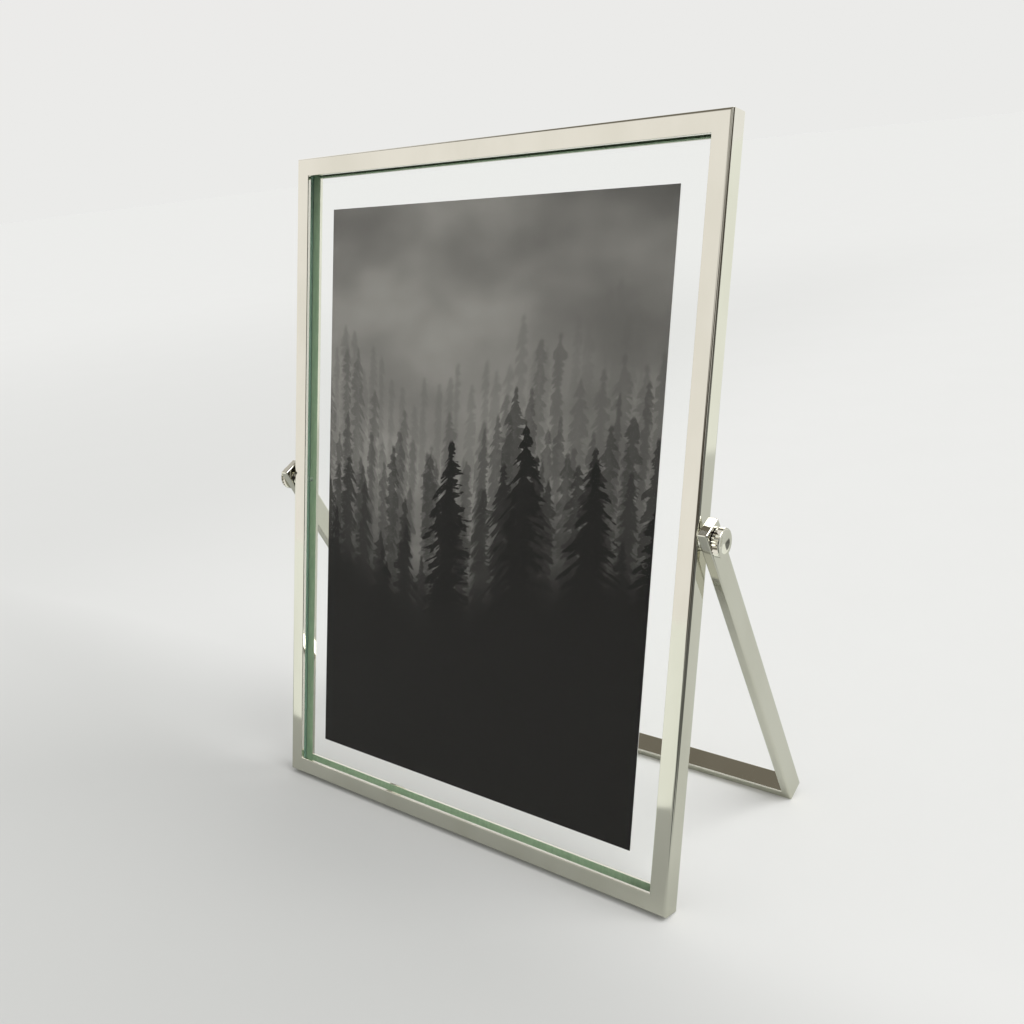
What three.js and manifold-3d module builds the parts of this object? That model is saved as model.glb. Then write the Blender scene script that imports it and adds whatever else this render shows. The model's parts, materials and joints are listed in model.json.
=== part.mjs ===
// Tabletop floating picture frame on a U-shaped easel stand.
// Two glass panes hold a print between them inside a thin metal channel frame.
// The stand turns on two thumb screws in the frame's sides and is shown open.
// Millimetres, +Z up, front facing -Y, origin at the bottom centre of the whole object.
import * as THREE from 'three';
import * as BufferGeometryUtils from 'three/addons/utils/BufferGeometryUtils.js';
import Module from 'manifold-3d';

// Frame
const FRAME_WIDTH = 156;
const FRAME_HEIGHT = 208;
const FRAME_DEPTH = 6.6;
const RAIL_WIDTH = 5.5;
const WALL = 1.7;            // outer wall of the channel
const LIP = 1.1;             // front and back lips that hold the glass
const FRAME_EDGE_R = 0.8;
const LIP_EDGE_R = 0.25;
const MITRE_GAP = 0.1;       // each rail stops this far short of its corner's mitre plane

// Glass and print
const GLASS_WIDTH = 152;
const GLASS_HEIGHT = 203;
const GLASS_THICKNESS = 1.95;
const PRINT_WIDTH = 127;
const PRINT_HEIGHT = 178;
const PRINT_THICKNESS = 0.2;
const PRINT_DROP = 0.9;      // print centre below the frame's centre
const SHEET_GAP = 0.05;
const GLASS_CLEARANCE = 0.3; // under the panes, above the bottom wall

// Stand
const BAR_WIDTH = 7;
const BAR_THICKNESS = 3;
const BAR_EDGE_R = 0.5;
const PIVOT_HEIGHT = 104.5;  // along the frame, from its underside
const ARM_ABOVE_PIVOT = 5.25;
const ARM_BELOW_PIVOT = 110.5;
const STAND_ANGLE = THREE.MathUtils.degToRad(38.2);
const SIDE_GAP = 1;          // between frame side and arm

// Pivot hardware, all turned about the pivot axis
const SCREW_R = 1.5;
const SCREW_HOLE_R = 1.6;
const HEAD_R = 3.9;
const HEAD_LENGTH = 2.1;
const HEAD_CHAMFER = 0.35;
const KNURL_COUNT = 26;
const KNURL_DEPTH = 0.28;
const INSERT_BORE_R = 1.55;
const INSERT_SHANK_R = 2.2;
const INSERT_HOLE_R = 2.3;
const INSERT_FLANGE_R = 2.9;
const INSERT_FLANGE = 0.65;
const WASHER_R = 2.9;
const WASHER = 0.2;
const RUNNING_GAP = 0.05;
const SCREW_TIP_GAP = 0.2;   // between screw tip and the inside of the outer wall

const ROUND_SEGMENTS = 32;
const ARC_SEGMENTS = 4;
const OVERCUT = 1;           // how far cutting shapes run past what they cut

const pivotY = FRAME_DEPTH / 2;
const armInner = FRAME_WIDTH / 2 + SIDE_GAP;
const armOuter = armInner + BAR_THICKNESS;

const wasm = await Module();
wasm.setup();

const nickel = { color: 0xc9c4b6, roughness: 0.12, metalness: 1 };
const clearGlass = { color: 0xdfeee4, roughness: 0.03, metalness: 0, transparent: true, opacity: 0.3 };
const photoPaper = { color: 0x4a4a47, roughness: 0.5, metalness: 0 };
const nylon = { color: 0x2b2b2b, roughness: 0.6, metalness: 0 };

function solid(geometry) {
  const bare = geometry.clone();
  bare.deleteAttribute('normal');
  bare.deleteAttribute('uv');
  const merged = BufferGeometryUtils.mergeVertices(bare, 1e-4);
  return new wasm.Manifold(new wasm.Mesh({
    numProp: 3,
    vertProperties: new Float32Array(merged.attributes.position.array),
    triVerts: new Uint32Array(merged.index.array),
  }));
}

function geometryOf(manifold) {
  const mesh = manifold.getMesh();
  const geometry = new THREE.BufferGeometry();
  geometry.setAttribute('position', new THREE.BufferAttribute(mesh.vertProperties, 3));
  geometry.setIndex(new THREE.BufferAttribute(mesh.triVerts, 1));
  return geometry;
}

function part(name, geometry, finish) {
  const mesh = new THREE.Mesh(geometry, new THREE.MeshStandardMaterial(finish));
  mesh.name = name;
  return mesh;
}

function extrude(shape, length) {
  return new THREE.ExtrudeGeometry(shape, {
    depth: length, bevelEnabled: false, curveSegments: ARC_SEGMENTS, steps: 1,
  });
}

// C section of a rail: x runs inwards from the frame's outer face, y from front to back.
function channelSection() {
  const r = FRAME_EDGE_R;
  const q = LIP_EDGE_R;
  const quarter = Math.PI / 2;
  const s = new THREE.Shape();
  s.moveTo(r, 0);
  s.lineTo(RAIL_WIDTH - q, 0);
  s.absarc(RAIL_WIDTH - q, q, q, -quarter, 0, false);
  s.lineTo(RAIL_WIDTH, LIP);
  s.lineTo(WALL, LIP);
  s.lineTo(WALL, FRAME_DEPTH - LIP);
  s.lineTo(RAIL_WIDTH, FRAME_DEPTH - LIP);
  s.lineTo(RAIL_WIDTH, FRAME_DEPTH - q);
  s.absarc(RAIL_WIDTH - q, FRAME_DEPTH - q, q, 0, quarter, false);
  s.lineTo(r, FRAME_DEPTH);
  s.absarc(r, FRAME_DEPTH - r, r, quarter, 2 * quarter, false);
  s.lineTo(0, r);
  s.absarc(r, r, r, 2 * quarter, 3 * quarter, false);
  return s;
}

// Rail of the given outer length along z, centred, with both ends mitred inwards.
function mitredRail(length) {
  const bar = extrude(channelSection(), length);
  bar.translate(0, 0, -length / 2);
  const half = length / 2 - MITRE_GAP;
  const outline = new THREE.Shape([
    new THREE.Vector2(-OVERCUT, -half - OVERCUT),
    new THREE.Vector2(RAIL_WIDTH + OVERCUT, -half + RAIL_WIDTH + OVERCUT),
    new THREE.Vector2(RAIL_WIDTH + OVERCUT, half - RAIL_WIDTH - OVERCUT),
    new THREE.Vector2(-OVERCUT, half + OVERCUT),
  ]);
  const keep = extrude(outline, 3 * FRAME_DEPTH);
  keep.rotateX(Math.PI / 2);
  keep.translate(0, 2 * FRAME_DEPTH, 0);
  return solid(bar).intersect(solid(keep));
}

// Places a rail so that its section's x axis points along inward and its length lies in the frame.
function placedRail(length, inward, corner) {
  const depth = new THREE.Vector3(0, 1, 0);
  const along = new THREE.Vector3().crossVectors(inward, depth);
  const matrix = new THREE.Matrix4().makeBasis(inward, depth, along).setPosition(corner);
  return solid(geometryOf(mitredRail(length)).applyMatrix4(matrix));
}

// Cylinder along x between two x values, on the pivot axis at the given height.
function pivotCylinder(radius, from, to, height) {
  const geometry = new THREE.CylinderGeometry(radius, radius, to - from, ROUND_SEGMENTS);
  geometry.rotateZ(-Math.PI / 2);
  geometry.translate((from + to) / 2, pivotY, height);
  return solid(geometry);
}

function stile(side) {
  const inward = new THREE.Vector3(-side, 0, 0);
  const corner = new THREE.Vector3(side * FRAME_WIDTH / 2, 0, FRAME_HEIGHT / 2);
  const rail = placedRail(FRAME_HEIGHT, inward, corner);
  const inside = FRAME_WIDTH / 2 - WALL - OVERCUT;
  const outside = FRAME_WIDTH / 2 + OVERCUT;
  const ends = [side * inside, side * outside].sort((a, b) => a - b);
  return geometryOf(rail.subtract(pivotCylinder(INSERT_HOLE_R, ends[0], ends[1], PIVOT_HEIGHT)));
}

function bottomRail() {
  return geometryOf(placedRail(FRAME_WIDTH, new THREE.Vector3(0, 0, 1), new THREE.Vector3(0, 0, 0)));
}

// The panes go in and out through a slot along the top rail.
function topRail() {
  const top = new THREE.Vector3(0, 0, FRAME_HEIGHT);
  const rail = placedRail(FRAME_WIDTH, new THREE.Vector3(0, 0, -1), top);
  const slot = new THREE.BoxGeometry(FRAME_WIDTH - 2 * WALL, FRAME_DEPTH - 2 * LIP, 4 * WALL);
  slot.translate(0, FRAME_DEPTH / 2, FRAME_HEIGHT);
  return geometryOf(rail.subtract(solid(slot)));
}

// A flat sheet standing in the channel; front is the y of its front face.
function sheet(width, height, thickness, front, bottom) {
  const geometry = new THREE.BoxGeometry(width, thickness, height);
  geometry.translate(0, front + thickness / 2, bottom + height / 2);
  return geometry;
}

function roundedRectangle(width, height, radius) {
  const x = width / 2;
  const y = height / 2;
  const quarter = Math.PI / 2;
  const s = new THREE.Shape();
  s.moveTo(-x + radius, -y);
  s.lineTo(x - radius, -y);
  s.absarc(x - radius, -y + radius, radius, -quarter, 0, false);
  s.lineTo(x, y - radius);
  s.absarc(x - radius, y - radius, radius, 0, quarter, false);
  s.lineTo(-x + radius, y);
  s.absarc(-x + radius, y - radius, radius, quarter, 2 * quarter, false);
  s.lineTo(-x, -y + radius);
  s.absarc(-x + radius, -y + radius, radius, 2 * quarter, 3 * quarter, false);
  return s;
}

// Stand parts are drawn about the pivot: x across, z up the arm.
function cutToOutline(bar, corners) {
  const outline = new THREE.Shape(corners.map(([x, z]) => new THREE.Vector2(x, z)));
  const keep = extrude(outline, 2 * BAR_WIDTH);
  keep.rotateX(Math.PI / 2);
  keep.translate(0, BAR_WIDTH, 0);
  return solid(bar).intersect(solid(keep));
}

function standArm(side) {
  const top = ARM_ABOVE_PIVOT;
  const bottom = -ARM_BELOW_PIVOT;
  const bar = extrude(roundedRectangle(BAR_THICKNESS, BAR_WIDTH, BAR_EDGE_R), top - bottom);
  bar.translate(side * (armInner + armOuter) / 2, 0, bottom);
  const inner = side * (armInner - OVERCUT);
  const outer = side * (armOuter + OVERCUT);
  const corners = [
    [inner, top],
    [inner, bottom + BAR_THICKNESS + OVERCUT + MITRE_GAP],
    [outer, bottom - OVERCUT + MITRE_GAP],
    [outer, top],
  ];
  const arm = cutToOutline(bar, side > 0 ? corners : corners.reverse());
  const hole = new THREE.CylinderGeometry(SCREW_HOLE_R, SCREW_HOLE_R, 3 * BAR_THICKNESS, ROUND_SEGMENTS);
  hole.rotateZ(Math.PI / 2);
  hole.translate(side * (armInner + armOuter) / 2, 0, 0);
  return geometryOf(arm.subtract(solid(hole)));
}

function standFootBar() {
  const bar = extrude(roundedRectangle(BAR_THICKNESS, BAR_WIDTH, BAR_EDGE_R), 2 * armOuter);
  bar.translate(0, 0, -armOuter);
  bar.rotateY(Math.PI / 2);
  const bottom = -ARM_BELOW_PIVOT;
  bar.translate(0, 0, bottom + BAR_THICKNESS / 2);
  const inner = armInner - OVERCUT - MITRE_GAP;
  const outer = armOuter + OVERCUT - MITRE_GAP;
  const corners = [
    [-outer, bottom - OVERCUT],
    [outer, bottom - OVERCUT],
    [inner, bottom + BAR_THICKNESS + OVERCUT],
    [-inner, bottom + BAR_THICKNESS + OVERCUT],
  ];
  return geometryOf(cutToOutline(bar, corners));
}

// Turns a closed profile of [radius, distance out from the frame's centre plane] about the pivot axis.
function turned(profile, side) {
  const points = profile.map(([radius, x]) => new THREE.Vector2(radius, x));
  const geometry = new THREE.LatheGeometry(points, ROUND_SEGMENTS);
  geometry.rotateZ(-side * Math.PI / 2);
  geometry.translate(0, pivotY, PIVOT_HEIGHT);
  return geometry;
}

function threadedInsert(side) {
  const face = FRAME_WIDTH / 2 + RUNNING_GAP;
  const back = FRAME_WIDTH / 2 - WALL + RUNNING_GAP;
  return turned([
    [INSERT_BORE_R, back],
    [INSERT_SHANK_R, back],
    [INSERT_SHANK_R, face],
    [INSERT_FLANGE_R, face],
    [INSERT_FLANGE_R, face + INSERT_FLANGE],
    [INSERT_BORE_R, face + INSERT_FLANGE],
    [INSERT_BORE_R, back],
  ], side);
}

function frictionWasher(side) {
  const outerFace = armInner - RUNNING_GAP;
  return turned([
    [SCREW_HOLE_R, outerFace - WASHER],
    [WASHER_R, outerFace - WASHER],
    [WASHER_R, outerFace],
    [SCREW_HOLE_R, outerFace],
    [SCREW_HOLE_R, outerFace - WASHER],
  ], side);
}

function knurledBand(length) {
  const s = new THREE.Shape();
  const steps = 4 * KNURL_COUNT;
  for (let i = 0; i < steps; i += 1) {
    const radius = HEAD_R - (i % 4 < 2 ? 0 : KNURL_DEPTH);
    const angle = 2 * Math.PI * i / steps;
    const x = radius * Math.cos(angle);
    const y = radius * Math.sin(angle);
    if (i === 0) s.moveTo(x, y);
    else s.lineTo(x, y);
  }
  return extrude(s, length);
}

function thumbScrew(side) {
  const tip = FRAME_WIDTH / 2 - WALL + SCREW_TIP_GAP;
  const under = armOuter + 2 * RUNNING_GAP;
  const end = under + HEAD_LENGTH;
  const core = HEAD_R - KNURL_DEPTH - RUNNING_GAP;
  const body = turned([
    [0, tip],
    [SCREW_R, tip],
    [SCREW_R, under],
    [core, under],
    [core, end - HEAD_CHAMFER],
    [core - HEAD_CHAMFER, end],
    [0, end],
  ], side);
  const band = knurledBand(HEAD_LENGTH - 2 * HEAD_CHAMFER);
  band.rotateY(side * Math.PI / 2);
  band.translate(side * (under + HEAD_CHAMFER), pivotY, PIVOT_HEIGHT);
  return geometryOf(solid(body).add(solid(band)));
}

// Lean at which the back edge of the bottom rail and the front edge of the foot bar share one floor.
function leanAngle() {
  const railY = FRAME_DEPTH - FRAME_EDGE_R;
  const railZ = FRAME_EDGE_R;
  const down = ARM_BELOW_PIVOT - BAR_EDGE_R;
  const forward = BAR_WIDTH / 2 - BAR_EDGE_R;
  const footY = pivotY + down * Math.sin(STAND_ANGLE) - forward * Math.cos(STAND_ANGLE);
  const footZ = PIVOT_HEIGHT - down * Math.cos(STAND_ANGLE) - forward * Math.sin(STAND_ANGLE);
  const span = Math.hypot(footY - railY, footZ - railZ);
  const slope = Math.atan2(footZ - railZ, footY - railY);
  return slope - Math.asin((BAR_EDGE_R - FRAME_EDGE_R) / span);
}

const frame = new THREE.Group();
frame.rotation.x = -leanAngle();
frame.add(part('frame_bottom_rail', bottomRail(), nickel));
frame.add(part('frame_top_rail', topRail(), nickel));
frame.add(part('frame_left_stile', stile(-1), nickel));
frame.add(part('frame_right_stile', stile(1), nickel));

const glassBottom = WALL + GLASS_CLEARANCE;
const stackDepth = 2 * GLASS_THICKNESS + PRINT_THICKNESS + 2 * SHEET_GAP;
const frontGlassY = (FRAME_DEPTH - stackDepth) / 2;
const printY = frontGlassY + GLASS_THICKNESS + SHEET_GAP;
const backGlassY = printY + PRINT_THICKNESS + SHEET_GAP;
const printBottom = FRAME_HEIGHT / 2 - PRINT_DROP - PRINT_HEIGHT / 2;
const pane = (front) => sheet(GLASS_WIDTH, GLASS_HEIGHT, GLASS_THICKNESS, front, glassBottom);
frame.add(part('front_glass', pane(frontGlassY), clearGlass));
frame.add(part('print', sheet(PRINT_WIDTH, PRINT_HEIGHT, PRINT_THICKNESS, printY, printBottom), photoPaper));
frame.add(part('back_glass', pane(backGlassY), clearGlass));

for (const [word, side] of [['left', -1], ['right', 1]]) {
  frame.add(part(`${word}_threaded_insert`, threadedInsert(side), nickel));
  frame.add(part(`${word}_friction_washer`, frictionWasher(side), nylon));
  frame.add(part(`${word}_thumb_screw`, thumbScrew(side), nickel));
}

const stand = new THREE.Group();
stand.position.set(0, pivotY, PIVOT_HEIGHT);
stand.rotation.x = STAND_ANGLE;
stand.add(part('stand_left_arm', standArm(-1), nickel));
stand.add(part('stand_right_arm', standArm(1), nickel));
stand.add(part('stand_foot_bar', standFootBar(), nickel));
frame.add(stand);

const easelFrame = new THREE.Group();
easelFrame.add(frame);
easelFrame.updateMatrixWorld(true);
const box = new THREE.Box3().setFromObject(easelFrame, true);
frame.position.set(-(box.min.x + box.max.x) / 2, -(box.min.y + box.max.y) / 2, -box.min.z);

export default easelFrame;
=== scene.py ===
# Tabletop floating picture frame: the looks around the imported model.
# A thin polished nickel channel holds two panes with a print between them, on a U-shaped stand.
import json
import math

import bmesh
import bpy
from mathutils import Matrix, Vector


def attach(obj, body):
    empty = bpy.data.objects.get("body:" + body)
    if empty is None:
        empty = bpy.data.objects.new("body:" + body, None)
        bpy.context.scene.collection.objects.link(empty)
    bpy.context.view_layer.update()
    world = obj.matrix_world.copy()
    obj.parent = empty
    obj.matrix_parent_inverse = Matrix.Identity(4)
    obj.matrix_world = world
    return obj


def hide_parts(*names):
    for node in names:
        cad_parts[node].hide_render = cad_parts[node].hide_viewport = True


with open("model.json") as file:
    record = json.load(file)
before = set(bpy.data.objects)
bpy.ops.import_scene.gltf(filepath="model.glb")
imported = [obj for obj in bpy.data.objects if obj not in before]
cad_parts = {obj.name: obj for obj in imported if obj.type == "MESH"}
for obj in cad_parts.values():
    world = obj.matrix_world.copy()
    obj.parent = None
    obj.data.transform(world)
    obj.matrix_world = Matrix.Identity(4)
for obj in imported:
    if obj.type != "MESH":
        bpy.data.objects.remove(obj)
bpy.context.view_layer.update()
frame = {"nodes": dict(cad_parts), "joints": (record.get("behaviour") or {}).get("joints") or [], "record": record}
joints = {joint["name"]: joint for joint in frame["joints"]}
mounts = {mount["name"]: mount for mount in frame["record"]["mounts"]}

MM = 0.001
WELD = 1e-6
ROUND = 96

# The frame's own directions: its origin is on the hinge axis, z runs up the leaning frame.
pivot = Vector(joints["stand_hinge"]["pos_m"])
up_the_frame = Vector(joints["glass_slide"]["axis"])
down_the_arm = Vector(mounts["foot_bar_underside"]["axis"])
lean = math.atan2(up_the_frame.y, up_the_frame.z)
spread = math.atan2(down_the_arm.y, -down_the_arm.z)
leaning = Matrix.Translation(pivot) @ Matrix.Rotation(-lean, 4, "X")
opened = Matrix.Translation(pivot) @ Matrix.Rotation(spread, 4, "X")


def box_along(place, *names):
    """Lowest and highest corner of CAD nodes, measured along a tilted set of axes."""
    inverse = place.inverted()
    points = [inverse @ v.co for name in names for v in frame["nodes"][name].data.vertices]
    low = Vector([min(p[k] for p in points) for k in range(3)])
    high = Vector([max(p[k] for p in points) for k in range(3)])
    return low, high


# ---------------------------------------------------------------- camera

CAMERA_PLACE = (0.2079, -0.2364, 0.1997)
CAMERA_HEADING = 40.95
CAMERA_DIP = -22.12
CAMERA_TILT = -6.39
CAMERA_SENSOR = 36
CAMERA_LENS = 37.63
CAMERA_SHIFT = (0.001, 0.0712)


def set_camera():
    camera = bpy.data.objects.new("studio_camera", bpy.data.cameras.new("studio_camera"))
    bpy.context.scene.collection.objects.link(camera)
    turn = Matrix.Rotation(math.radians(CAMERA_HEADING), 4, "Z")
    turn = turn @ Matrix.Rotation(math.radians(90 + CAMERA_DIP), 4, "X")
    turn = turn @ Matrix.Rotation(math.radians(CAMERA_TILT), 4, "Z")
    camera.matrix_world = Matrix.Translation(CAMERA_PLACE) @ turn
    camera.data.sensor_width = CAMERA_SENSOR
    camera.data.lens = CAMERA_LENS
    camera.data.shift_x, camera.data.shift_y = CAMERA_SHIFT
    camera.data.clip_start = 0.01
    camera.data.clip_end = 100
    bpy.context.scene.camera = camera


# ---------------------------------------------------------------- shader maths

class Wire:
    """A value on its way through a finish's nodes. Arithmetic on it adds Math nodes."""

    def __init__(self, finish, socket):
        self.finish = finish
        self.socket = socket

    def maths(self, operation, first, second=0.0):
        return self.finish.node("ShaderNodeMath", {"operation": operation}, {0: first, 1: second})

    def __add__(self, other):
        return self.maths("ADD", self, other)

    def __radd__(self, other):
        return self.maths("ADD", other, self)

    def __sub__(self, other):
        return self.maths("SUBTRACT", self, other)

    def __rsub__(self, other):
        return self.maths("SUBTRACT", other, self)

    def __mul__(self, other):
        return self.maths("MULTIPLY", self, other)

    def __rmul__(self, other):
        return self.maths("MULTIPLY", other, self)

    def __truediv__(self, other):
        return self.maths("DIVIDE", self, other)

    def __rtruediv__(self, other):
        return self.maths("DIVIDE", other, self)

    def __pow__(self, other):
        return self.maths("POWER", self, other)

    def __abs__(self):
        return self.maths("ABSOLUTE", self)

    def floor(self):
        return self.maths("FLOOR", self)

    def greatest(self, other):
        return self.maths("MAXIMUM", self, other)

    def least(self, other):
        return self.maths("MINIMUM", self, other)

    def rise(self, start, end):
        """0 below start, 1 above end, smooth between."""
        return self.finish.node(
            "ShaderNodeMapRange",
            {"interpolation_type": "SMOOTHSTEP"},
            {"Value": self, "From Min": start, "From Max": end},
        )

    def parts(self):
        return [
            self.finish.node("ShaderNodeSeparateXYZ", {}, {0: self}, output)
            for output in range(3)
        ]


class Finish:
    """A node tree, and the one way nodes get into it."""

    def __init__(self, owner):
        owner.use_nodes = True
        self.owner = owner
        self.tree = owner.node_tree
        self.tree.nodes.clear()

    def node(self, kind, settings, sockets, output=0):
        made = self.tree.nodes.new(kind)
        for name, value in settings.items():
            setattr(made, name, value)
        for name, value in sockets.items():
            if isinstance(value, Wire):
                self.tree.links.new(value.socket, made.inputs[name])
            else:
                made.inputs[name].default_value = value
        return Wire(self, made.outputs[output]) if len(made.outputs) else made

    def blend(self, share, first, second):
        """Colour first where share is 0, second where it is 1."""
        return self.node("ShaderNodeMix", {"data_type": "RGBA"}, {0: share, 6: first, 7: second}, 2)

    def places(self):
        """Position on the piece in millimetres, as a vector."""
        place = self.node("ShaderNodeTexCoord", {}, {}, "Object")
        return self.node("ShaderNodeVectorMath", {"operation": "SCALE"}, {0: place, "Scale": 1 / MM})

    def stretched(self, place, along):
        return self.node("ShaderNodeVectorMath", {"operation": "MULTIPLY"}, {0: place, 1: along})

    def noise(self, place, scale, detail=2.0, roughness=0.5, output="Fac"):
        sockets = {"Vector": place, "Scale": scale, "Detail": detail, "Roughness": roughness}
        return self.node("ShaderNodeTexNoise", {}, sockets, output)

    def bump(self, height, strength, distance):
        sockets = {"Height": height, "Strength": strength, "Distance": distance * MM}
        return self.node("ShaderNodeBump", {}, sockets)

    def mirror_ray(self):
        """1 for a ray that bounced off polish, 0 for one that came straight or through a pane."""
        polish = self.node("ShaderNodeLightPath", {}, {}, "Is Glossy Ray")
        through = self.node("ShaderNodeLightPath", {}, {}, "Is Transmission Ray")
        return polish * (1.0 - through)

    def surface(self, shader):
        self.node("ShaderNodeOutputMaterial", {}, {"Surface": shader})
        return self.owner


def new_finish(name):
    return Finish(bpy.data.materials.new(name))


# ---------------------------------------------------------------- finishes

# Far below real glass, so the panes show hardly any glare and the whole depth of the channel.
PANE_IOR = 1.04


def polished_nickel():
    """Warm mirror plate with faint smears, fine wiping marks and a little waviness."""
    f = new_finish("polished_nickel")
    place = f.places()
    smears = f.noise(f.stretched(place, (0.05, 0.05, 0.02)), 1.0, 4.0, 0.55)
    wiping = f.noise(f.stretched(place, (0.25, 3.0, 3.0)), 1.0, 3.0, 0.6)
    specks = f.noise(place, 2.2, 2.0, 0.7).rise(0.70, 0.78)
    tint = f.blend(smears.rise(0.35, 0.7), (0.765, 0.755, 0.680, 1), (0.715, 0.705, 0.625, 1))
    tint = f.blend(specks * 0.22, tint, (0.48, 0.45, 0.37, 1))
    roughness = 0.035 + smears.rise(0.45, 0.75) * 0.05 + wiping * 0.03 + specks * 0.08
    waves = f.noise(f.stretched(place, (0.08, 0.08, 0.05)), 1.0, 1.0, 0.4)
    normal = f.bump(waves + wiping * 0.012, 0.35, 0.05)
    sockets = {"Base Color": tint, "Metallic": 1.0, "Roughness": roughness, "Normal": normal}
    return f.surface(f.node("ShaderNodeBsdfPrincipled", {}, sockets))


def channel_inside():
    """The plated inside of the channel, painted green as a painted reflection of the panes' green edges."""
    f = new_finish("channel_inside")
    mottle = f.noise(f.stretched(f.places(), (0.9, 0.9, 0.05)), 1.0, 3.0, 0.6)
    green = f.blend(mottle.rise(0.3, 0.7), (0.40, 0.55, 0.36, 1), (0.50, 0.64, 0.44, 1))
    sockets = {"Base Color": green, "Metallic": 0.2, "Roughness": 0.3 + mottle * 0.1}
    return f.surface(f.node("ShaderNodeBsdfPrincipled", {}, sockets))


def channel_shadow_line():
    """Painted shade: a dark strip where the back pane meets its lip."""
    f = new_finish("channel_shadow_line")
    mottle = f.noise(f.stretched(f.places(), (0.9, 0.9, 0.08)), 1.0, 3.0, 0.6)
    dark = f.blend(mottle, (0.06, 0.085, 0.055, 1), (0.11, 0.14, 0.10, 1))
    sockets = {"Base Color": dark, "Metallic": 0.1, "Roughness": 0.4 + mottle * 0.2}
    return f.surface(f.node("ShaderNodeBsdfPrincipled", {}, sockets))


def pane_faces():
    """Clear float glass. Lamps pass through it, so the print and floor behind are lit."""
    f = new_finish("clear_glass")
    place = f.places()
    haze = f.noise(place, 0.03, 3.0, 0.5)
    sockets = {
        "Base Color": f.blend(haze, (0.999, 1.0, 0.999, 1), (0.994, 0.999, 0.994, 1)),
        "Roughness": 0.0,
        "IOR": PANE_IOR,
        "Transmission Weight": 1.0,
    }
    glass = f.node("ShaderNodeBsdfPrincipled", {}, sockets)
    clear = f.node("ShaderNodeBsdfTransparent", {}, {"Color": (0.992, 0.998, 0.992, 1)})
    lamp = f.node("ShaderNodeLightPath", {}, {}, "Is Shadow Ray")
    return f.surface(f.node("ShaderNodeMixShader", {}, {0: lamp, 1: glass, 2: clear}))


def pane_edges():
    """Ground edge of float glass: frosted sea green."""
    f = new_finish("ground_glass_edge")
    place = f.places()
    grain = f.noise(place, 6.0, 3.0, 0.7)
    tint = f.blend(grain.rise(0.3, 0.7), (0.30, 0.55, 0.42, 1), (0.42, 0.66, 0.53, 1))
    normal = f.bump(grain, 0.3, 0.03)
    sockets = {
        "Base Color": tint,
        "Roughness": 0.35 + grain * 0.2,
        "Transmission Weight": 0.6,
        "Normal": normal,
    }
    return f.surface(f.node("ShaderNodeBsdfPrincipled", {}, sockets))


def black_nylon():
    f = new_finish("black_nylon")
    grain = f.noise(f.places(), 9.0, 3.0, 0.6)
    tint = f.blend(grain, (0.015, 0.015, 0.016, 1), (0.035, 0.034, 0.033, 1))
    sockets = {"Base Color": tint, "Roughness": 0.5 + grain * 0.2, "Normal": f.bump(grain, 0.3, 0.02)}
    return f.surface(f.node("ShaderNodeBsdfPrincipled", {}, sockets))


def paper_back():
    """Bare back of the print paper: white with a soft fibre tooth."""
    f = new_finish("paper_back")
    place = f.places()
    fibre = f.noise(place, 3.0, 4.0, 0.65)
    cloud = f.noise(place, 0.04, 2.0, 0.5)
    tint = f.blend(cloud * 0.6 + fibre * 0.4, (0.80, 0.795, 0.77, 1), (0.87, 0.865, 0.845, 1))
    sockets = {"Base Color": tint, "Roughness": 0.6 + fibre * 0.1, "Normal": f.bump(fibre, 0.25, 0.02)}
    return f.surface(f.node("ShaderNodeBsdfPrincipled", {}, sockets))


FIR_DROOP = 0.55
FIR_LEADER = 0.0015
TWIGS_ACROSS = 16.0
TWIGS_UP = 62.0


def firs(f, across, height, spacing, seed, skyline, scatter, stoutness, soft):
    """A row of firs, one to a spacing, placed by chance. How much of each spot they cover."""
    cell = across / spacing + seed
    index = cell.floor()
    chance = f.node("ShaderNodeTexWhiteNoise", {"noise_dimensions": "1D"}, {"W": index + seed}, "Color")
    shift, tall, stout = chance.parts()
    trunk = (cell - index - 0.5 - (shift - 0.5) * 0.5) * spacing
    side = abs(trunk)
    below = skyline + (tall - 0.5) * scatter - height
    up = (below - side * FIR_DROOP) * TWIGS_UP
    along = f.node("ShaderNodeCombineXYZ", {}, {0: trunk * TWIGS_ACROSS, 1: up, 2: index * 3.7})
    twigs = f.noise(along, 1.0, 3.0, 0.62).rise(0.32, 0.68)
    room = (0.5 - abs(shift - 0.5) * 0.5) * (spacing / 1.15)
    half = (below.greatest(0.0) ** 0.85 * (stout * 0.5 + 0.75) * stoutness).least(room)
    reach = half * (twigs * 1.15 + 0.22) + FIR_LEADER
    return ((reach - side) / soft + 0.5).rise(0.0, 1.0) * below.rise(0.0, 0.012)


# Rows of firs, far to near: spacing, seed, skyline, scatter, stoutness, softness, tone, strength,
# and how far the mist swallows their feet.
FIR_ROWS = (
    (0.036, 3.0, 1.12, 0.16, 0.17, 0.013, 0.115, 0.50, 0.9),
    (0.053, 12.0, 1.02, 0.20, 0.17, 0.009, 0.085, 0.62, 0.8),
    (0.045, 27.0, 0.93, 0.18, 0.17, 0.006, 0.060, 0.72, 0.7),
    (0.081, 33.0, 0.90, 0.26, 0.19, 0.005, 0.042, 0.82, 0.55),
    (0.066, 44.0, 0.76, 0.22, 0.19, 0.004, 0.030, 0.88, 0.35),
    (0.127, 58.0, 0.80, 0.36, 0.20, 0.003, 0.021, 0.94, 0.2),
    (0.215, 76.0, 0.84, 0.55, 0.20, 0.003, 0.014, 0.98, 0.0),
)


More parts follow.
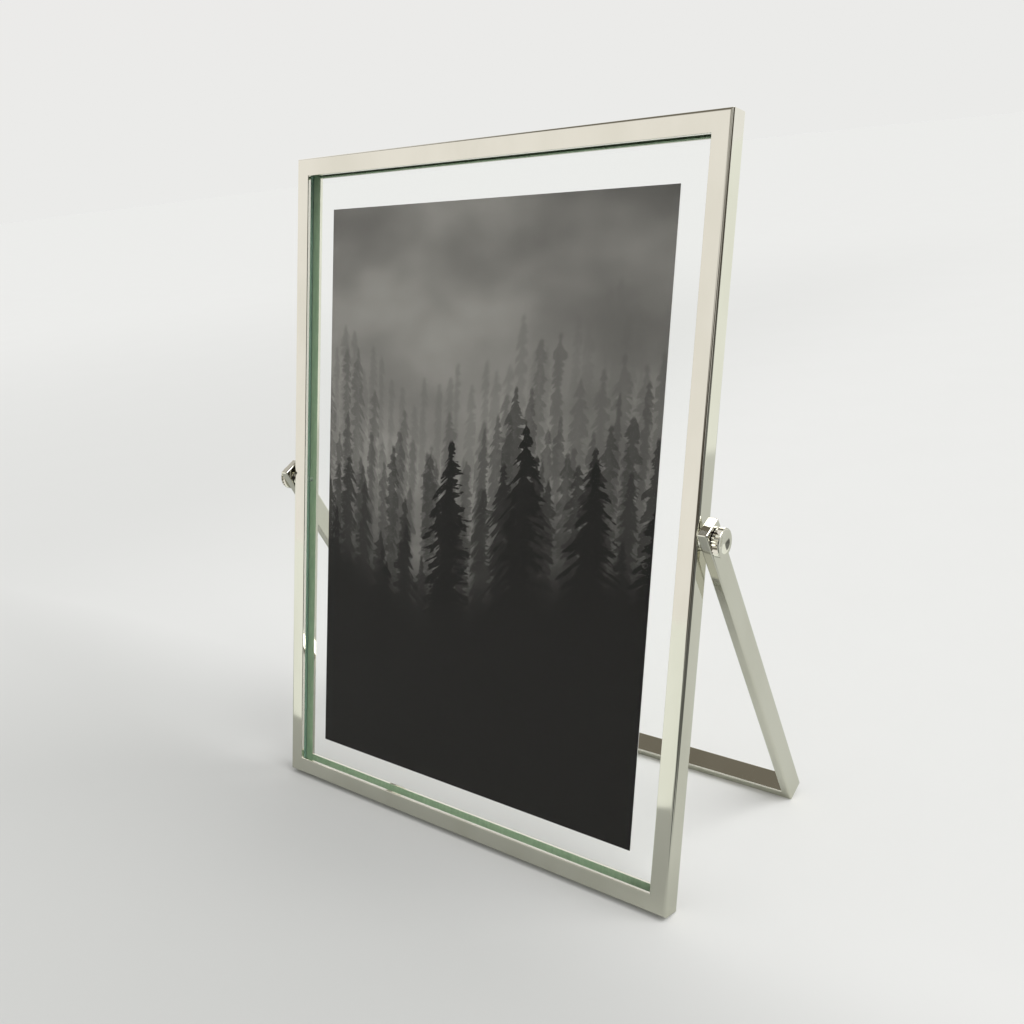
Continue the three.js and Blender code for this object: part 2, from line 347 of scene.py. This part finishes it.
def print_face(low, high):
    """A misty fir forest in black and white, printed to the edges of the paper."""
    f = new_finish("photo_print")
    width = (high.x - low.x) / MM
    bottom = (leaning @ low).z / MM
    x, y, z = f.places().parts()
    across = x / width
    height = (z - bottom) / (width * math.cos(lean))
    flat = f.node("ShaderNodeCombineXYZ", {}, {0: across, 1: height, 2: 0.0})
    cloud = f.noise(f.stretched(flat, (1.0, 1.6, 1.0)), 2.1, 3.0, 0.5)
    wisps = f.noise(f.stretched(flat, (1.0, 1.8, 1.0)), 4.0, 4.0, 0.55)
    hills = f.noise(f.node("ShaderNodeCombineXYZ", {}, {0: across, 1: 5.0, 2: 0.0}), 1.7, 1.0, 0.5)
    tone = 0.135 + cloud.rise(0.25, 0.75) * 0.12 - across.rise(-0.1, 0.6) * 0.055
    tone = tone - height.rise(1.15, 1.40) * 0.02
    for spacing, seed, skyline, scatter, stoutness, soft, shade, strength, swallowed in FIR_ROWS:
        ridge = hills * 0.55 + (skyline - 0.27)
        thicket = (ridge - height + (wisps - 0.5) * 0.25).rise(0.20, 0.40)
        row = firs(f, across, height, spacing, seed, ridge, scatter, stoutness, soft).greatest(thicket)
        mist = (ridge - height).rise(0.02, 0.42) * wisps.rise(0.38, 0.66) * swallowed
        share = row * (1.0 - mist) * strength
        tone = tone * (1.0 - share) + share * shade
    edge = height + (wisps - 0.5) * 0.30 - hills * 0.25
    gloom = edge.rise(0.58, 0.26) * 0.95
    tone = tone * (1.0 - gloom) + gloom * 0.016
    tone = tone * (0.96 + f.noise(flat, 420.0, 1.0, 0.5) * 0.08)
    grey = f.node("ShaderNodeCombineXYZ", {}, {0: tone * 1.25, 1: tone * 1.22, 2: tone * 1.13})
    sockets = {
        "Base Color": grey,
        "Roughness": 0.40 + f.noise(flat, 300.0, 2.0, 0.5) * 0.06,
        "Specular IOR Level": 0.06,
    }
    return f.surface(f.node("ShaderNodeBsdfPrincipled", {}, sockets))


# ---------------------------------------------------------------- making pieces

def corner_arc(centre, radius, start, end, steps):
    """Points on an arc, angles in quarter turns."""
    points = []
    for step in range(steps + 1):
        angle = math.radians(90 * (start + (end - start) * step / steps))
        points.append((centre[0] + radius * math.cos(angle), centre[1] + radius * math.sin(angle)))
    return points


def rounded_box(half_width, half_depth, radius, steps=6):
    """Outline of a rectangle with rounded corners, centred."""
    x = half_width - radius
    y = half_depth - radius
    points = corner_arc((x, y), radius, 0, 1, steps)
    points += corner_arc((-x, y), radius, 1, 2, steps)
    points += corner_arc((-x, -y), radius, 2, 3, steps)
    points += corner_arc((x, -y), radius, 3, 4, steps)
    return points


def skin(bm, loops, closed=False, ends=False, finish=lambda spot: 0):
    """Faces between neighbouring loops of points. finish gives each strip's finish number."""
    rows = [[bm.verts.new(point) for point in loop] for loop in loops]
    count = len(rows[0])
    pairs = list(zip(rows, rows[1:] + rows[:1])) if closed else list(zip(rows, rows[1:]))
    for row, (near, far) in enumerate(pairs):
        for k in range(count):
            after = (k + 1) % count
            face = bm.faces.new((near[k], near[after], far[after], far[k]))
            face.material_index = finish(row)
    if ends:
        bm.faces.new(rows[0])
        bm.faces.new(list(reversed(rows[-1])))


def tidy_mesh(bm):
    bmesh.ops.remove_doubles(bm, verts=bm.verts, dist=WELD)
    bmesh.ops.dissolve_degenerate(bm, edges=bm.edges, dist=WELD)
    bmesh.ops.recalc_face_normals(bm, faces=bm.faces)


def mesh_object(name, bm, place, finishes):
    tidy_mesh(bm)
    bm.transform(place)
    mesh = bpy.data.meshes.new(name)
    bm.to_mesh(mesh)
    bm.free()
    for finish in finishes:
        mesh.materials.append(finish)
    made = bpy.data.objects.new(name, mesh)
    bpy.context.scene.collection.objects.link(made)
    return made


def cut_away(piece, tools):
    """Takes the tools' shapes out of the piece, then removes them."""
    for tool in tools:
        cut = piece.modifiers.new("cut", "BOOLEAN")
        cut.operation = "DIFFERENCE"
        cut.solver = "EXACT"
        cut.object = tool
    bpy.context.view_layer.update()
    cleaned = bpy.data.meshes.new_from_object(piece.evaluated_get(bpy.context.evaluated_depsgraph_get()))
    piece.modifiers.clear()
    piece.data = cleaned
    for tool in tools:
        bpy.data.objects.remove(tool)


def smooth_edges(piece, angle=35):
    """Rounded edges shade smooth while the big faces stay flat."""
    piece.data.shade_smooth()
    piece.data.set_sharp_from_angle(angle=math.radians(angle))
    weighted = piece.modifiers.new("flat_faces", "WEIGHTED_NORMAL")
    weighted.mode = "FACE_AREA"
    weighted.weight = 100
    weighted.keep_sharp = True


def seat(piece, body, slot, *replaced):
    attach(piece, body)
    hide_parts(*replaced)


def cross_pin(name, radius, start, end, place):
    """A cylinder along x, for cutting holes."""
    bm = bmesh.new()
    loops = []
    for x in (start, end):
        turn = [2 * math.pi * k / ROUND for k in range(ROUND)]
        loops.append([(x, radius * math.cos(a), radius * math.sin(a)) for a in turn])
    skin(bm, loops, ends=True)
    return mesh_object(name, bm, place, [])


# ---------------------------------------------------------------- channel frame

RAIL = 5.5 * MM
WALL = 1.7 * MM
LIP = 1.1 * MM
FRAME_EDGE = 0.95 * MM
LIP_EDGE = 0.25 * MM
FRAME_CORNER = 0.2 * MM
INSERT_HOLE = 2.3 * MM
SLOT_CORNER = 0.3 * MM
SHADOW_STRIP = 0.16
RAILS = ("frame_bottom_rail", "frame_top_rail", "frame_left_stile", "frame_right_stile")


def channel_section(depth):
    """C section as (inwards, front to back) points, and the finish of each strip inside it."""
    half = depth / 2
    points = corner_arc((FRAME_EDGE, half - FRAME_EDGE), FRAME_EDGE, 2, 1, 8)
    points += corner_arc((RAIL - LIP_EDGE, half - LIP_EDGE), LIP_EDGE, 1, 0, 4)
    inside = len(points)
    # The strip from shade to the wall gets the painted shade finish.
    shade = WALL + SHADOW_STRIP * (RAIL - WALL)
    points += [(RAIL, half - LIP), (shade, half - LIP), (WALL, half - LIP)]
    points += [(WALL, LIP - half), (RAIL, LIP - half)]
    points += corner_arc((RAIL - LIP_EDGE, LIP_EDGE - half), LIP_EDGE, 4, 3, 4)
    points += corner_arc((FRAME_EDGE, FRAME_EDGE - half), FRAME_EDGE, 3, 2, 8)
    return points, {inside: 1, inside + 1: 2, inside + 2: 1, inside + 3: 1}


def frame_loop(inwards, depth, low, high, steps=6):
    """Once round the frame at a distance in from its outer faces."""
    radius = max(FRAME_CORNER - inwards, 0)
    outline = rounded_box((high.x - low.x) / 2 - inwards, (high.z - low.z) / 2 - inwards, radius, steps)
    middle = (low.z + high.z) / 2
    return [(x, depth, middle + z) for x, z in outline]


def make_channel_frame(nickel, inside, shadow):
    low, high = box_along(leaning, *RAILS)
    depth = high.y - low.y
    section, inner_strips = channel_section(depth)
    bm = bmesh.new()
    loops = [frame_loop(inwards, y, low, high) for inwards, y in section]
    skin(bm, loops, closed=True, finish=lambda row: inner_strips.get(row, 0))
    piece = mesh_object("channel_frame", bm, leaning, [nickel, inside, shadow])
    slot = bmesh.new()
    outline = rounded_box(high.x - WALL, depth / 2 - LIP, SLOT_CORNER)
    slot_heights = (high.z - 3 * WALL, high.z + WALL)
    skin(slot, [[(x, y, z) for x, y in outline] for z in slot_heights], ends=True)
    tools = [mesh_object("loading_slot", slot, leaning, [])]
    for side in (-1, 1):
        ends = sorted((side * (high.x - 2 * WALL), side * (high.x + WALL)))
        tools.append(cross_pin("insert_hole", INSERT_HOLE, *ends, leaning))
    cut_away(piece, tools)
    smooth_edges(piece)
    seat(piece, "frame", "polished_nickel", *RAILS)


# ---------------------------------------------------------------- panes and print

PANE_BEVEL = 0.2 * MM
PANE_CORNER = 0.6 * MM
PRINT_CORNER = 0.15 * MM


def make_pane(name, node, faces, edges):
    low, high = box_along(leaning, node)
    bevel = PANE_BEVEL
    bm = bmesh.new()
    loops = []
    for y, inset in ((low.y, bevel), (low.y + bevel, 0), (high.y - bevel, 0), (high.y, bevel)):
        outline = rounded_box(high.x - inset, (high.z - low.z) / 2 - inset, PANE_CORNER, 4)
        loops.append([(x, y, (low.z + high.z) / 2 + z) for x, z in outline])
    skin(bm, loops, ends=True, finish=lambda row: 1)
    piece = mesh_object(name, bm, leaning, [faces, edges])
    seat(piece, "glass_pack", "clear_glass", node)


def make_print(front, back):
    low, high = box_along(leaning, "print")
    bm = bmesh.new()
    outline = rounded_box(high.x, (high.z - low.z) / 2, PRINT_CORNER, 3)
    middle = (low.z + high.z) / 2
    skin(bm, [[(x, y, middle + z) for x, z in outline] for y in (low.y, high.y)], finish=lambda row: 1)
    for y, finish in ((low.y, 0), (high.y, 1)):
        face = bm.faces.new([bm.verts.new((x, y, middle + z)) for x, z in outline])
        face.material_index = finish
    piece = mesh_object("forest_print", bm, leaning, [front, back])
    seat(piece, "glass_pack", "photo_paper", "print")


# ---------------------------------------------------------------- stand

BAR_EDGE = 0.5 * MM
STAND_CORNER = 0.5 * MM
ARM_HOLE = 1.6 * MM
STAND = ("stand_left_arm", "stand_right_arm", "stand_foot_bar")


def make_stand(nickel):
    low, high = box_along(opened, *STAND)
    arm_low, arm_high = box_along(opened, "stand_right_arm")
    thickness = arm_high.x - arm_low.x
    half = thickness / 2
    centre_x = (arm_low.x + arm_high.x) / 2
    foot_z = low.z + half
    steps = 5
    stations = []

    def section(inset):
        outline = rounded_box(half - inset, high.y - inset, max(BAR_EDGE - inset, 0.02 * MM))
        return [(out, y) for out, y in outline]

    def straight(side, z, inset):
        return [(side * (centre_x + out), y, z) for out, y in section(inset)]

    def corner(side, turn):
        points = []
        for out, y in section(0):
            radius = max(STAND_CORNER - (half - out), 0)
            x = centre_x + out - radius
            z = foot_z - out + radius
            points.append((side * (x + radius * math.cos(turn)), y, z - radius * math.sin(turn)))
        return points

    rounding = [BAR_EDGE * (1 - math.sin(math.pi / 2 * k / steps)) for k in range(steps + 1)]
    drops = [BAR_EDGE * (1 - math.cos(math.pi / 2 * k / steps)) for k in range(steps + 1)]
    ends = list(zip(rounding, drops))
    quarter = [math.pi / 2 * k / steps for k in range(steps + 1)]
    for inset, drop in ends:
        stations.append(straight(-1, high.z - drop, inset))
    stations += [corner(-1, turn) for turn in quarter]
    stations += [corner(1, turn) for turn in reversed(quarter)]
    for inset, drop in reversed(ends):
        stations.append(straight(1, high.z - drop, inset))
    bm = bmesh.new()
    skin(bm, stations, ends=True)
    piece = mesh_object("easel_stand", bm, opened, [nickel])
    tools = []
    for side in (-1, 1):
        limits = sorted((side * (arm_low.x - half), side * (arm_high.x + half)))
        tools.append(cross_pin("arm_hole", ARM_HOLE, *limits, opened))
    cut_away(piece, tools)
    smooth_edges(piece)
    seat(piece, "stand", "polished_nickel", *STAND)


# ---------------------------------------------------------------- pivot hardware

SCREW = 1.5 * MM
KNURLS = 26
KNURL_DEPTH = 0.42 * MM
HEAD_RIM = 0.85 * MM
HEAD_DISH = 0.65 * MM
HEAD_STEP = 0.32 * MM
HEAD_CHAMFER = 0.1 * MM
HEAD_CLEARANCE = 0.1 * MM
RIDGE_EDGE = 0.01 * MM
SCREW_POINT = 0.4 * MM
INSERT_BORE = 1.55 * MM
INSERT_SHANK = 2.2 * MM
INSERT_FLANGE = 0.65 * MM
INSERT_BEVEL = 0.08 * MM
WASHER_BEVEL = 0.03 * MM


def turned(name, profile, side, finishes, knurl=None):
    """Turns a closed (along x, radius) profile about the hinge axis. knurl gives the ridges' depth."""
    per_ridge = 4
    count = KNURLS * per_ridge if knurl else ROUND
    bm = bmesh.new()
    loops = []
    for x, radius in profile:
        depth = knurl(x, radius) if knurl else 0
        loop = []
        for k in range(count):
            ridge = abs(2 * (k % per_ridge) / per_ridge - 1)
            angle = 2 * math.pi * k / count
            reach = max(radius - depth * ridge, 0)
            loop.append((side * x, reach * math.cos(angle), reach * math.sin(angle)))
        loops.append(loop)
    skin(bm, loops)
    piece = mesh_object(name, bm, leaning, finishes)
    smooth_edges(piece, 32)
    return piece


def make_screw(side, word, nickel):
    node = word + "_thumb_screw"
    low, high = box_along(leaning, node)
    tip = min(abs(low.x), abs(high.x))
    end = max(abs(low.x), abs(high.x))
    head_radius = high.y
    under = box_along(opened, "stand_right_arm")[1].x + HEAD_CLEARANCE
    length = end - under
    rim = head_radius - HEAD_STEP
    band_start = under + 0.05 * length
    band_end = under + 0.93 * length
    ramp = 0.05 * length

    def knurl(x, radius):
        inside = min((x - band_start) / ramp, (band_end - x) / ramp, 1)
        return KNURL_DEPTH * max(inside, 0) if radius > SCREW * 2 else 0

    profile = [(tip, 0), (tip, SCREW * 0.7), (tip + SCREW_POINT, SCREW), (under, SCREW), (under, rim * 0.93)]
    profile += [(band_start, rim), (band_start + RIDGE_EDGE, head_radius)]
    profile += [(band_start + ramp, head_radius), (band_end - ramp, head_radius)]
    profile += [(band_end - RIDGE_EDGE, head_radius), (band_end, rim)]
    profile += [(end - HEAD_CHAMFER, rim), (end, rim - HEAD_CHAMFER)]
    dish = rim - HEAD_RIM
    for step in range(9):
        share = 1 - step / 8
        profile.append((end - HEAD_DISH * (1 - share ** 1.5), dish * share))
    piece = turned(word + "_knurled_screw", profile, side, [nickel], knurl)
    seat(piece, word + "_screw", "polished_nickel", node)


def make_insert(side, word, nickel):
    node = word + "_threaded_insert"
    low, high = box_along(leaning, node)
    back = min(abs(low.x), abs(high.x))
    face = max(abs(low.x), abs(high.x))
    flange = high.y
    bore = INSERT_BORE
    shank = INSERT_SHANK
    step = face - INSERT_FLANGE
    bevel = INSERT_BEVEL
    profile = [(back, bore), (back, shank), (step, shank), (step, flange - bevel)]
    profile += [(step + bevel, flange), (face - bevel, flange), (face, flange - bevel)]
    profile += [(face, bore + bevel), (face - bevel, bore), (back, bore)]
    piece = turned(word + "_insert", profile, side, [nickel])
    seat(piece, "frame", "polished_nickel", node)


def make_washer(side, word, nylon):
    node = word + "_friction_washer"
    low, high = box_along(leaning, node)
    back = min(abs(low.x), abs(high.x))
    face = max(abs(low.x), abs(high.x))
    bevel = WASHER_BEVEL
    profile = [(back, ARM_HOLE), (back, high.y - bevel), (back + bevel, high.y)]
    profile += [(face - bevel, high.y), (face, high.y - bevel), (face, ARM_HOLE), (back, ARM_HOLE)]
    piece = turned(word + "_nylon_washer", profile, side, [nylon])
    seat(piece, "frame", "black_nylon", node)


# ---------------------------------------------------------------- studio

FLOOR_REACH = 12.0
KEY_LIGHT_FROM = Vector((0.62, 0.19, 0.76))
KEY_LIGHT_STRENGTH = 1.55
KEY_LIGHT_SPREAD = 44


def make_floor():
    """Pale floor with painted shade, darker in front of and to the left of the frame. In the metal it shows
    painted dark and pale patches.
    """
    f = new_finish("studio_floor")
    place = f.places()
    grain = f.noise(place, 0.02, 3.0, 0.5)
    tint = f.blend(grain, (0.800, 0.802, 0.785, 1), (0.815, 0.818, 0.802, 1))
    x, y, z = place.parts()
    # Painted shade: the floor's colour is darkened in front of and to the left of the frame, fading out farther
    # off.
    in_front = (x * -0.15 - y * 0.99).rise(-10.0, 75.0) * (1.0 - x.rise(-150.0, -400.0) * 0.4)
    distance = (x * x + y * y) ** 0.5
    painted_floor_shade = in_front.greatest(x.rise(-100.0, -450.0) * 0.5)
    tint = f.blend(painted_floor_shade * distance.rise(1800.0, 350.0), tint, (0.642, 0.646, 0.628, 1))
    # Painted reflection: rays off polished metal see these levels instead of the floor's colour. They are mid grey
    # near the frame, pale farther in front and behind, and dark off towards the camera's side.
    ahead = x * -0.40 - y * 0.92
    behind = x * 0.62 + y * 0.78
    beside = x * 0.84 - y * 0.54 - distance * 0.25
    level = 0.44 + behind.rise(-20.0, 60.0) * 0.20
    level = level + (0.95 - level) * ahead.rise(176.0, 184.0)
    level = level + (0.95 - level) * behind.rise(455.0, 485.0)
    level = level * (1.0 - beside.rise(92.0, 120.0) * 0.80)
    painted_reflection = f.node("ShaderNodeCombineXYZ", {}, {0: level * 0.98, 1: level, 2: level * 0.93})
    colour = f.blend(f.mirror_ray(), tint, painted_reflection)
    finish = f.surface(f.node("ShaderNodeBsdfDiffuse", {}, {"Color": colour}))
    bm = bmesh.new()
    reach = FLOOR_REACH
    corners = ((-reach, -reach, 0), (reach, -reach, 0), (reach, reach, 0), (-reach, reach, 0))
    bm.faces.new([bm.verts.new(corner) for corner in corners])
    mesh_object("floor", bm, Matrix.Identity(4), [finish])


def light_studio():
    """A pale room. What the polished metal mirrors is brighter on the left and dark near the camera."""
    world = bpy.data.worlds.new("studio")
    bpy.context.scene.world = world
    f = Finish(world)
    direction = f.node("ShaderNodeTexCoord", {}, {}, "Generated")
    x, y, z = direction.parts()
    level = (x * x + y * y) ** 0.5
    camera_side = (x * 0.80 - y * 0.60) / level.greatest(0.001)
    dark_side = camera_side.rise(0.14, 0.34) * (1.0 - z.rise(0.25, 0.6))
    dark_top = z.rise(0.50, 0.72) * (1.0 - (x * 0.62 + y * 0.19 + z * 0.76).rise(0.80, 0.90))
    front_left = (x * -0.62 - y * 0.78).rise(0.0, 0.6)
    walls = f.blend(front_left, (1.0, 0.985, 0.965, 1), (1.0, 0.965, 0.93, 1))
    mirrored = f.blend(dark_top, walls, (0.19, 0.172, 0.14, 1))
    mirrored = f.blend(dark_side, mirrored, (0.10, 0.086, 0.070, 1))
    mirrored = f.blend(dark_side * camera_side.rise(0.60, 0.90), mirrored, (0.035, 0.028, 0.022, 1))
    plain = (0.66, 0.66, 0.66, 1)
    backdrop = f.blend(z.rise(0.0, 0.3), (0.83, 0.83, 0.815, 1), (0.84, 0.825, 0.815, 1))
    diffuse = f.node("ShaderNodeLightPath", {}, {}, "Is Diffuse Ray")
    colour = f.blend(diffuse, backdrop, plain)
    colour = f.blend(f.mirror_ray(), colour, mirrored)
    background = f.node("ShaderNodeBackground", {}, {"Color": colour, "Strength": 1.0})
    f.node("ShaderNodeOutputWorld", {}, {"Surface": background})

    lamp = bpy.data.objects.new("key_light", bpy.data.lights.new("key_light", "SUN"))
    bpy.context.scene.collection.objects.link(lamp)
    lamp.data.energy = KEY_LIGHT_STRENGTH
    lamp.data.angle = math.radians(KEY_LIGHT_SPREAD)
    lamp.rotation_mode = "QUATERNION"
    lamp.rotation_quaternion = KEY_LIGHT_FROM.to_track_quat("Z", "Y")


set_camera()
bpy.context.scene.view_settings.view_transform = "Standard"
nickel = polished_nickel()
make_channel_frame(nickel, channel_inside(), channel_shadow_line())
panes = pane_faces()
edges = pane_edges()
make_pane("front_pane", "front_glass", panes, edges)
make_pane("back_pane", "back_glass", panes, edges)
make_print(print_face(*box_along(leaning, "print")), paper_back())
make_stand(nickel)
nylon = black_nylon()
for word, side in (("left", -1), ("right", 1)):
    make_screw(side, word, nickel)
    make_insert(side, word, nickel)
    make_washer(side, word, nylon)
make_floor()
light_studio()
